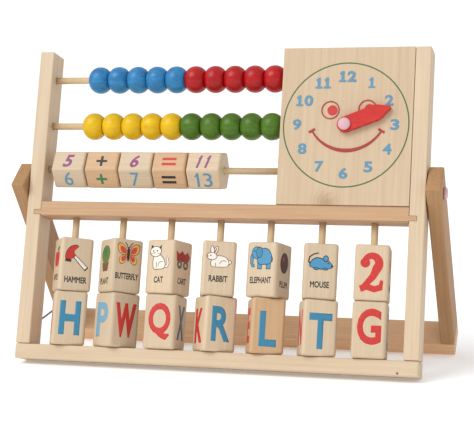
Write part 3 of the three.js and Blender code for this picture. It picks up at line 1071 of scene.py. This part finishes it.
# %% Print the letters and numbers
LETTERS = [
    [("H", BLUE), ("B", GREEN), ("F", RED), ("A", RED)],
    [("P", PALE_BLUE), ("W", RED), ("N", GREEN), ("C", BLUE)],
    [("Q", RED), ("X", SLATE), ("D", GREEN), ("J", BLUE)],
    [("R", BLUE), ("M", GREEN), ("S", PURPLE), ("K", RED)],
    [("L", BLUE), ("U", RED), ("O", GREEN), ("E", RED)],
    [("T", BLUE), ("V", GREEN), ("Y", PURPLE), ("N", RED)],
    [("G", RED), ("Z", BLUE), ("&", GREEN), ("W", PURPLE)],
]
LETTER_WIDTHS = {
    "H": 16, "W": 18.5, "M": 18, "Q": 17.5, "O": 17, "L": 13, "J": 11, "E": 13, "F": 13, "T": 17, "G": 17.5,
}
LETTER_WEIGHTS = {"W": 0.055, "X": 0.045, "K": 0.045, "N": 0.045, "M": 0.045, "H": 0.04}
LETTER_RISES = {"L": -2.4, "T": -2.4, "K": -1.6, "G": 2.2}
LETTER_HEIGHT = 26


def block_face(place, side):
    """The axes of one side of a square block, counted round from its front."""
    out = Matrix.Translation((0, -BLOCK_SIDE / 2, 0))
    return place @ Matrix.Rotation(side * math.pi / 2, 4, "Z") @ out @ FRONT


def print_letters(index, place):
    block = Prints()
    for side, (letter, ink) in enumerate(LETTERS[index]):
        height = LETTER_HEIGHT * (1.06 if letter == "Q" else 1)
        width = LETTER_WIDTHS.get(letter, 15)
        rise, weight = LETTER_RISES.get(letter, 0), LETTER_WEIGHTS.get(letter, 0.032)
        block.add(block_face(place, side), [(lettering(letter, 0, rise, height, width, weight), ink)])
    return block.finish(f"letter_block_{index + 1}_print", f"letter_block_{index + 1}")


NUMBER_FACES = [
    [("5", PURPLE), ("4", RED), ("3", BLUE), ("2", GREEN), ("1", RED), ("6", DIAL_BLUE)],
    [("+", BLACK), ("-", RED), ("+", BLUE), ("-", PURPLE), ("+", RED), ("+", GREEN)],
    [("6", PURPLE), ("5", RED), ("4", BLUE), ("3", GREEN), ("8", RED), ("7", DIAL_BLUE)],
    [("=", RED), ("=", BLUE), ("=", GREEN), ("=", PURPLE), ("=", BLUE), ("=", BLACK)],
    [("11", PURPLE), ("9", RED), ("7", BLUE), ("5", GREEN), ("15", RED), ("13", DIAL_BLUE)],
]
NUMBER_APOTHEM = NUMBER_RADIUS * math.cos(math.pi / 6)
SIGN_REACH = 4.4


def number_shape(text, slanted):
    across = [(-SIGN_REACH, 0), (SIGN_REACH, 0)]
    if text == "+":
        return [stroke(across, 2.0), stroke([(0, -SIGN_REACH), (0, SIGN_REACH)], 2.0)]
    if text == "-":
        return [stroke(across, 2.0)]
    if text == "=":
        return [stroke([(-5.6, y), (5.6, y)], 2.2) for y in (-2.2, 2.2)]
    if slanted:
        return figures(text, 0, 0, 10.8, 0.62, 0.03, 0.25, plain=True)
    return figures(text, 0, 0, 12, 0.58, 0.005, plain=True)


def print_numbers(index, place):
    block = Prints()
    for side, (text, ink) in enumerate(NUMBER_FACES[index]):
        turn = Matrix.Rotation(-math.radians(30 + 60 * side), 4, "X")
        face = place @ turn @ Matrix.Translation((0, -NUMBER_APOTHEM, 0)) @ FRONT
        block.add(face, [(shape, ink) for shape in number_shape(text, side == 0)])
    return block.finish(f"number_block_{index + 1}_print", f"number_block_{index + 1}")


for index, place in enumerate(letter_places):
    print_letters(index, place)
for index, place in enumerate(number_places):
    print_numbers(index, place)
print("letters and numbers printed")

# %% [markdown]
# ## Pictures
#
# Each picture block shows four plain things with their names. Every picture is a short list of discs,
# smooth blobs and bands, back to front. It is drawn roughly to size, then fitted to the width, height
# and place that it has on its block, so the drawing and its measure can be changed separately.


# %% Draw with outlines
def grown(points, reach):
    """Points pushed out from their middle, for the dark line round a coloured shape."""
    middle = sum((Vector(point) for point in points), Vector((0, 0))) / len(points)
    return [tuple(Vector(point) + (Vector(point) - middle).normalized() * reach) for point in points]


def inked(points, ink, line=BLACK, edge=0.55):
    """A smooth shape over a slightly larger one in the colour of its line."""
    return [(blob(grown(points, edge)), line), (blob(points), ink)]


def spot(x, y, wide, tall, turn, ink, line=BLACK, edge=0.5):
    return [(disc(x, y, wide + edge, tall + edge, turn), line), (disc(x, y, wide, tall, turn), ink)]


def fitted(shapes, x, y, wide, tall):
    """Scales a drawing to a width and a height, centred on a point."""
    vertices = [vertex for patch, _ in shapes for vertex in patch.verts]
    low = [min(vertex.co[axis] for vertex in vertices) for axis in range(2)]
    high = [max(vertex.co[axis] for vertex in vertices) for axis in range(2)]
    for vertex in vertices:
        vertex.co.x = (x + ((vertex.co.x - low[0]) / (high[0] - low[0]) - 0.5) * wide) * MM
        vertex.co.y = (y + ((vertex.co.y - low[1]) / (high[1] - low[1]) - 0.5) * tall) * MM
    return shapes


print("drawing helpers ready")


# %% Draw the animals
def butterfly():
    shapes = []
    for side in (-1, 1):
        upper = [(0.6, 0.5), (2.6, 6.2), (7.6, 9.0), (10.4, 7.0), (9.2, 2.0), (5.0, -0.6)]
        lower = [(0.6, 0.2), (5.4, -0.8), (8.4, -3.8), (6.8, -7.8), (2.8, -6.2)]
        for wing, centre, heart in ((lower, (5.2, -3.8), (3.2, -2.4)), (upper, (6.0, 4.2), (3.4, 2.4))):
            for share, ink, middle in ((1.0, BROWN, centre), (0.86, YELLOW, centre), (0.6, ROSE, heart)):
                points = [Vector(middle).lerp(Vector(point), share) for point in wing]
                shapes.append((blob([(point.x * side, point.y) for point in points]), ink))
        shapes.append((disc(7.6 * side, 6.4, 0.9), ORANGE))
        shapes.append((stroke([(0.3 * side, 4.6), (1.6 * side, 7.6), (3.6 * side, 9.6)], 0.6), BLACK))
    shapes.append((disc(0, 0.2, 1.1, 5.8), BLACK))
    return shapes


def cat():
    tail = [(4.6, -6.4), (7.6, -6.6), (8.8, -4.0), (7.8, -0.6), (8.6, 2.0)]
    back = [(-3.6, -8), (-4.6, -2), (-3.2, 2.6), (0.4, 3.0), (4.2, -0.4), (5.8, -5), (4.6, -8), (0.4, -8.4)]
    return [
        (stroke(tail, 2.6, 1.7), BLACK),
        (stroke(tail, 1.7, 0.9), WHITE),
        *inked(back, WHITE),
        (stroke([(-1.6, -7.8), (-1.8, -2.8)], 0.5), BLACK),
        (stroke(arc_points(2.6, -5.2, 2.6, 200, 60, 10), 0.5), BLACK),
        (outline_shape([(-7.4, 6.4), (-6.8, 11.2), (-3.6, 8.6)]), BLACK),
        (outline_shape([(-0.4, 8.4), (2.0, 11.0), (1.8, 6.0)]), BLACK),
        *spot(-2.8, 5.6, 4.6, 3.9, 0, WHITE),
        (disc(-4.9, 6.2, 0.65), BLACK),
        (disc(-1.6, 6.2, 0.65), BLACK),
        (disc(-4.0, 4.6, 0.8, 0.5), ROSE),
        (stroke([(-7.8, 4.2), (-4.8, 4.3)], 0.3), BLACK),
        (stroke([(-1.6, 4.3), (1.6, 4.0)], 0.3), BLACK),
    ]


def rabbit():
    body = [(-5.4, -5.4), (-4.4, -0.4), (0.6, 2.8), (6.2, 1.6), (8.8, -2.6), (7.4, -6.4), (1, -7), (-3.4, -7)]
    return [
        *spot(9.2, -2.4, 1.7, 1.6, 0, WHITE),
        *inked(body, WHITE, edge=0.5),
        (stroke(arc_points(4.8, -4.2, 3.0, 190, 50, 12), 0.5), BLACK),
        (stroke([(-1.4, -6.8), (-1.8, -3.8)], 0.45), BLACK),
        *spot(-2.2, 7.6, 1.3, 4.0, -18, WHITE),
        *spot(-4.8, 7.8, 1.2, 3.8, 6, WHITE),
        (disc(-2.2, 7.8, 0.5, 2.8, -18), ROSE),
        *spot(-5.0, 2.4, 3.8, 3.1, 0, WHITE),
        (disc(-6.0, 3.0, 0.6), BLACK),
        (disc(-8.4, 2.2, 0.6), ROSE),
    ]


def elephant():
    body = [(-3.0, -3.6), (-3.4, 3), (0, 6.4), (5.6, 6.0), (9.0, 2), (8.8, -3.4), (3.0, -4.4)]
    trunk = [(-7.4, 3.4), (-9.0, 0.6), (-9.2, -3.4), (-8.0, -5.8), (-6.2, -5.4)]
    shapes = [(stroke([(8.8, 2.2), (10.4, -0.4), (10.2, -3.0)], 0.9, 0.6), BLACK)]
    for x in (-1.4, 6.8):
        shapes.append((stroke([(x, -1), (x, -8.2)], 4.4), BLACK))
        shapes.append((stroke([(x, -1), (x, -7.7)], 3.4), SKY))
    shapes += inked(body, SKY, BLACK)
    shapes += [(stroke(trunk, 3.8, 2.2), BLACK), (stroke(trunk, 2.8, 1.3), SKY)]
    shapes += spot(-5.0, 3.8, 4.0, 4.0, 0, SKY, BLACK)
    shapes += spot(-2.2, 4.0, 2.5, 3.6, 0, BLUE, BLACK)
    return [*shapes, (disc(-6.6, 4.8, 0.6), BLACK)]


def mouse():
    body = [
        (-8.0, -4.6), (-7.4, -0.6), (-3.0, 2.0), (2.4, 1.0), (6.0, 0.4), (10.2, -3.6), (7.6, -5.6), (0, -6.0),
    ]
    return [
        (stroke([(-7.6, -3.4), (-10.0, -1.0), (-9.4, 2.6), (-5.8, 5.0), (-1.6, 6.0)], 1.5, 0.8), BLACK),
        *inked(body, SKY, edge=0.8),
        *spot(4.6, 1.8, 1.7, 1.9, 0, SKY, edge=0.7),
        (disc(6.8, -1.8, 0.6), BLACK),
        (disc(10.2, -3.8, 0.9), BLACK),
        *spot(-3.4, -6.2, 1.9, 0.6, 0, BLUE),
        *spot(4.6, -6.2, 1.7, 0.6, 0, BLUE),
    ]


def fish():
    return [
        (outline_shape([(5.0, 0), (10.4, 5.0), (8.8, 0), (10.4, -5.0)]), YELLOW),
        *inked([(-8, 0), (-3.4, 4.6), (3, 4.2), (6.6, 0), (3, -4.2), (-3.4, -4.6)], ORANGE),
        (disc(-4.8, 1.2, 0.8), BLACK),
        (stroke(arc_points(-4.0, 0, 4.0, -50, 50, 10), 0.6), DARK_RED),
    ]


print("six animals drawn on demand")


# %% Draw the plain things
def hammer():
    """A claw hammer: the red head upright at the left, the pale handle down to the right."""
    head = [
        (-1.4, 9.8), (1.2, 8.4), (-2.4, 4.6), (-1.2, 1.2),
        (-4.2, -1.2), (-8.6, -1.4), (-8.2, 4.0), (-5.6, 7.8),
    ]
    return [
        (stroke([(-3.2, 2.4), (9.4, -9.4)], 2.6, 4.2), BLACK),
        (stroke([(-3.2, 2.4), (8.6, -8.6)], 1.4, 2.9), WHITE),
        *inked(head, RED, PLUM, 0.5),
        (stroke([(-9.0, -2.8), (-4.0, -3.2)], 2.2), PLUM),
    ]


def plant():
    return [
        (outline_shape([(-5.4, -2.4), (5.4, -2.4), (3.8, -9.2), (-3.8, -9.2)]), BROWN),
        (disc(0, 3.8, 6.6, 7.2), OLIVE),
        (disc(-1.6, 5.6, 3.0, 3.6, 20), GREEN),
    ]


def apple():
    skin = [(0, 4.2), (4.6, 5.2), (6.8, 0.6), (4.2, -6.2), (0, -5.6), (-4.2, -6.2), (-6.8, 0.6), (-4.6, 5.2)]
    return [
        *inked(skin, RED, DARK_RED, 0.3),
        (stroke([(0, 4.0), (0.8, 8.6)], 1.2), BROWN),
        (disc(3.6, 7.8, 3.2, 1.6, 24), GREEN),
    ]


def cart():
    side = [(-9, -2), (-10, 6), (-6, 3.6), (-2, 6.4), (2, 3.8), (5.6, 6.2), (9.4, 2.4), (6.4, -2)]
    sizes = ((3.4, SLATE), (1.4, YELLOW))
    wheels = [(disc(x, -4.2, reach), ink) for x in (-5.0, 3.6) for reach, ink in sizes]
    return [(outline_shape(side), DARK_RED), *wheels]


def sun():
    rays = [
        stroke([arc_points(0, 0, reach, turn, turn, 1)[0] for reach in (6.0, 9.4)], 1.8, 0.7)
        for turn in range(0, 360, 40)
    ]
    return [*[(ray, ORANGE) for ray in rays], (disc(0, 0, 5.4), YELLOW)]


def fruit():
    return [(disc(0, 0, 6.3, 7.8, -8), PLUM), (disc(-1.8, 2.4, 1.5, 2.4, -20), DARK_RED)]


def boat():
    return [
        (outline_shape([(-9, -2.6), (9, -2.6), (5.6, -7), (-5.8, -7)]), BLUE),
        (stroke([(0, -2.8), (0, 8.6)], 0.9), BROWN),
        (outline_shape([(0.8, 8.2), (0.8, -1.4), (7.6, -1.4)]), RED),
        (outline_shape([(-0.8, 6.2), (-0.8, -1.4), (-5.8, -1.4)]), YELLOW),
    ]


def two():
    """A figure 2 with a ball, a thick waist and a heavy curled foot."""
    bowl = arc_points(-0.2, 6.4, 5.0, 172, -40, 20)
    return [
        (stroke(bowl, 3.6, 6.2), RED),
        (stroke([bowl[-1], (1.0, -2.6), (-5.6, -10.2)], 6.2, 3.4), RED),
        (disc(bowl[-1][0], bowl[-1][1], 3.1), RED),
        (stroke([(-7.4, -11.2), (-3.0, -9.6), (2.2, -11.2), (6.4, -9.8)], 4.6, 4.2), RED),
        (stroke([(6.0, -11.4), (7.0, -5.0)], 3.4, 2.0), RED),
        (disc(-4.6, 6.6, 3.3), RED),
    ]


print("eight things drawn on demand")

# %% [markdown]
# Each entry below gives a drawing's caption, its width and height and how high its middle is, then the
# caption's width and its place. A picture with no caption fills its side.

# %% Print the pictures
DRAWINGS = {
    hammer: ("HAMMER", 18.7, 20, 5.0, 17.4, -12),
    butterfly: ("BUTTERFLY", 19, 17, 9.5, 19.4, -8),
    cat: ("CAT", 18.4, 19, 7.0, 8.4, -10),
    rabbit: ("RABBIT", 19, 16, 8.5, 14, -8),
    elephant: ("ELEPHANT", 18.7, 17, 8.5, 17.5, -8),
    mouse: ("MOUSE", 18.5, 13, 7.0, 13.8, -10),
    two: ("", 17.3, 29, 0, 0, 0),
    fish: ("FISH", 18, 10, 6.0, 11, -10),
    plant: ("PLANT", 14, 20, 5.5, 14, -12),
    apple: ("APPLE", 14, 16, 6.0, 13, -10),
    cart: ("CART", 18, 14, 6.0, 11, -10),
    sun: ("SUN", 18, 18, 6.0, 9, -10),
    fruit: ("PLUM", 12.6, 15.6, 6.0, 12, -10),
    boat: ("BOAT", 17, 16, 6.0, 12, -10),
}
PICTURES = [
    [hammer, boat, sun, apple],
    [butterfly, fish, fruit, plant],
    [cat, cart, apple, sun],
    [rabbit, plant, boat, fish],
    [elephant, fruit, sun, cart],
    [mouse, apple, plant, boat],
    [two, fish, cart, fruit],
]
CAPTION_HEIGHT = 4.8


def print_pictures(index, place):
    block = Prints()
    for side, picture in enumerate(PICTURES[index]):
        caption, wide, tall, rise, caption_wide, caption_rise = DRAWINGS[picture]
        face = block_face(place, side)
        block.add(face, fitted(picture(), 0, rise, wide, tall))
        if caption:
            words = lettering(caption, 0, caption_rise, CAPTION_HEIGHT, caption_wide, 0.03)
            block.add(face, [(words, BLACK)])
    return block.finish(f"picture_block_{index + 1}_print", f"picture_block_{index + 1}")


for index, place in enumerate(picture_places):
    print_pictures(index, place)
print("pictures printed")

# %% [markdown]
# ## The room
#
# A pale floor, a bright even sky and one broad lamp from the left front: soft light with a clear side.

# %% Floor, sky and lamp
FLOOR_HALF = 12.0


def pale_floor():
    graph = Graph("pale_floor")
    place = graph.object_place()
    mottle = graph.noise(place, 3.0, 2.0)
    base = graph.mix(mottle * 0.2, (0.94, 0.94, 0.94, 1), (0.9, 0.9, 0.9, 1))
    return graph.finish(
        Base_Color=base, Roughness=0.9, Emission_Color=(1, 1, 1, 1), Emission_Strength=0.25
    )


floor_mesh = bmesh.new()
bmesh.ops.create_grid(floor_mesh, x_segments=2, y_segments=2, size=FLOOR_HALF)
floor = as_object(floor_mesh, "floor", pale_floor())

SKY_LIGHT = 1.0
SKY_SEEN = 1.5
world = bpy.data.worlds.new("sky")
world.use_nodes = True
sky_tree = world.node_tree
giving = sky_tree.nodes["Background"]
giving.inputs["Color"].default_value = (1, 1, 1, 1)
giving.inputs["Strength"].default_value = SKY_LIGHT
seen = sky_tree.nodes.new("ShaderNodeBackground")
seen.inputs["Color"].default_value = (1, 1, 1, 1)
seen.inputs["Strength"].default_value = SKY_SEEN
ray = sky_tree.nodes.new("ShaderNodeLightPath")
choice = sky_tree.nodes.new("ShaderNodeMixShader")
sky_tree.links.new(ray.outputs["Is Camera Ray"], choice.inputs[0])
sky_tree.links.new(giving.outputs[0], choice.inputs[1])
sky_tree.links.new(seen.outputs[0], choice.inputs[2])
sky_tree.links.new(choice.outputs[0], sky_tree.nodes["World Output"].inputs[0])
bpy.context.scene.world = world

lamp_data = bpy.data.lights.new("lamp", "SUN")
lamp_data.energy = 2.2
lamp_data.angle = math.radians(35)
lamp = bpy.data.objects.new("lamp", lamp_data)
LAMP_FROM = Vector((-0.75, -1.0, 1.1))
lamp.rotation_euler = LAMP_FROM.to_track_quat("Z", "Y").to_euler()
bpy.context.scene.collection.objects.link(lamp)

bpy.context.scene.view_settings.view_transform = "Standard"
bpy.context.scene.view_settings.exposure = -0.45
print("room lit")
